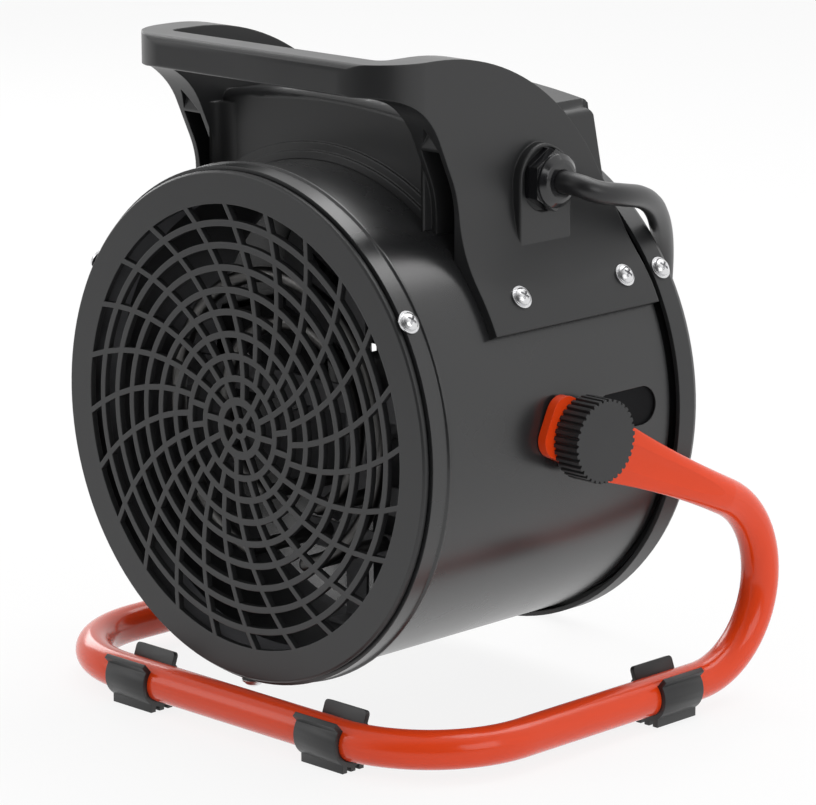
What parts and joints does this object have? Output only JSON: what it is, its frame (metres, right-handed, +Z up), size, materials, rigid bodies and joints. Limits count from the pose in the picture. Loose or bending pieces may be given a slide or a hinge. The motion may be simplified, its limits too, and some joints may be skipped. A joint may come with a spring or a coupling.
{
  "type": "forced air heater",
  "caption": "Round drum fan heater with a spiral outlet web, handle housing on top, and a bent tube stand that tilts and is clamped by two knobs.",
  "frame": {"origin": "on the floor under the middle of the heater and its stand, without the cord", "axes": "+Z up, the warm air leaves towards -Y, the inlet and the controls face +Y, +X is the side of the cord gland"},
  "size_m": [0.3365, 0.3531, 0.2839],
  "materials": {
    "drum_paint": "satin dark grey stove enamel",
    "grille_black": "satin dark grey moulding",
    "housing_black": "fine satin dark grey moulding",
    "knob_black": "matt black moulding",
    "stand_red": "glossy orange-red powder coat",
    "clip_black": "satin black moulding",
    "zinc": "bright zinc plate",
    "gland_black": "glossy black nylon",
    "cord_rubber": "smooth black sheath",
    "liner_steel": "dull bare steel",
    "element_steel": "polished tube, slightly blued",
    "mica_grey": "grey coated strip",
    "fan_grey": "semi-gloss grey sheet",
    "motor_steel": "plain steel",
    "block_white": "off-white moulding",
    "switch_black": "black moulding",
    "brass": "nickelled brass"
  },
  "bodies": {
    "heater": {"barrel": "drum_paint", "front_collar": "drum_paint", "front_grille": "grille_black", "rear_ring": "grille_black", "inlet_cover": "grille_black", "control_panel": "housing_black", "handle_housing": "housing_black", "collar_screws": "zinc", "ring_screws": "zinc", "flange_screws": "zinc", "gland_body": "gland_black", "gland_nut": "gland_black", "gland_locknut": "gland_black", "heat_shield": "liner_steel", "element_carrier": "mica_grey", "heating_elements": "element_steel", "thermal_cutout": "switch_black", "terminal_block": "block_white", "motor_case": "motor_steel", "motor_bracket": "mica_grey", "power_switch": "switch_black", "thermostat_body": "switch_black", "right_pivot_boss": "motor_steel", "left_pivot_boss": "motor_steel", "power_cord": "cord_rubber", "cord_coil": "cord_rubber", "plug_lead": "cord_rubber", "plug": "knob_black", "plug_pins": "brass"},
    "stand": {"stand_tube": "stand_red", "stand_clips": "clip_black"},
    "right_knob": {"right_clamp_knob": "knob_black", "right_clamp_stud": "zinc"},
    "left_knob": {"left_clamp_knob": "knob_black", "left_clamp_stud": "zinc"},
    "fan": {"fan_rotor": "fan_grey", "motor_shaft": "motor_steel"},
    "power_selector": {"power_dial": "knob_black"},
    "thermostat_selector": {"thermostat_dial": "knob_black"}
  },
  "joints": [
    {"name": "stand_tilt", "type": "hinge", "parent": "heater", "child": "stand", "pos_m": [0, -0.00263, 0.1265], "axis": [1, 0, 0], "range_deg": [-15, 60]},
    {"name": "right_knob_turn", "type": "hinge", "parent": "heater", "child": "right_knob", "pos_m": [0, -0.00263, 0.1265], "axis": [1, 0, 0], "range_deg": [0, 360]},
    {"name": "left_knob_turn", "type": "hinge", "parent": "heater", "child": "left_knob", "pos_m": [0, -0.00263, 0.1265], "axis": [-1, 0, 0], "range_deg": [0, 360]},
    {"name": "fan_spin", "type": "hinge", "parent": "heater", "child": "fan", "pos_m": [0, 0, 0.1265], "axis": [0, 1, 0], "continuous": true},
    {"name": "power_turn", "type": "hinge", "parent": "heater", "child": "power_selector", "pos_m": [-0.033, 0.06, 0.1895], "axis": [0, -1, 0], "range_deg": [0, 180]},
    {"name": "thermostat_turn", "type": "hinge", "parent": "heater", "child": "thermostat_selector", "pos_m": [0.033, 0.06, 0.1895], "axis": [0, -1, 0], "range_deg": [0, 270]}
  ]
}
